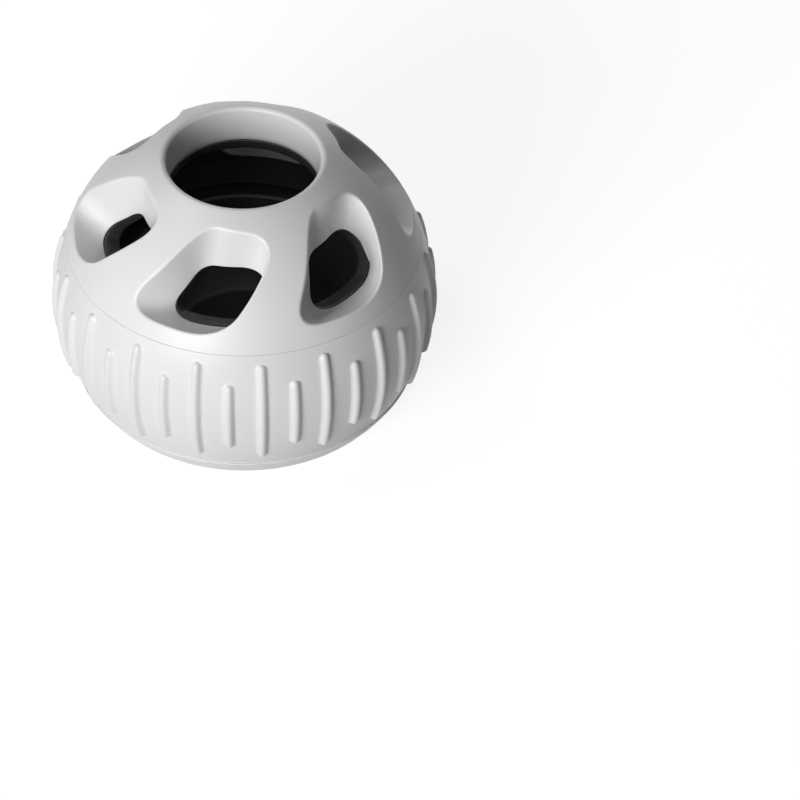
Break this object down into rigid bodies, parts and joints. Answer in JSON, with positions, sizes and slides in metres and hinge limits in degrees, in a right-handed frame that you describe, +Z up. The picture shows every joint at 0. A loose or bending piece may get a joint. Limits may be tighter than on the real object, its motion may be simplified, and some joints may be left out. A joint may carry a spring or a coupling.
{
  "type": "treat dispensing ball",
  "caption": "Rubber treat dispensing ball for dogs with a flat base, a mouth, leaning windows and grip ribs, whose two lined halves unscrew.",
  "frame": {"origin": "middle of the flat base, on the ball's axis", "axes": "+Z up the ball's axis from the base through the middle of the mouth; -Y towards the front, where the front window's middle is turned 14 degrees towards -X"},
  "size_m": [0.1022, 0.1022, 0.0726],
  "materials": {
    "shell_rubber": "light grey moulded rubber, fine matte grain",
    "liner": "charcoal moulded nylon, satin",
    "seal": "black silicone, soft satin"
  },
  "bodies": {
    "lower_half": {"lower_shell": "shell_rubber", "lower_core": "liner"},
    "seal": {"seal_ring": "seal"},
    "upper_half": {"upper_shell": "shell_rubber", "upper_core": "liner"}
  },
  "joints": [
    {"name": "lift", "type": "slide", "parent": "lower_half", "child": "seal", "axis": [0, 0, 1], "range_m": [0, 0.00901]},
    {"name": "unscrew", "type": "hinge", "parent": "seal", "child": "upper_half", "pos_m": [0, 0, 0.0454], "axis": [0, 0, 1], "range_deg": [0, 270]}
  ],
  "couplings": [
    {"joint": "lift", "follows": "unscrew", "m_per_rad": 0.0019099}
  ]
}
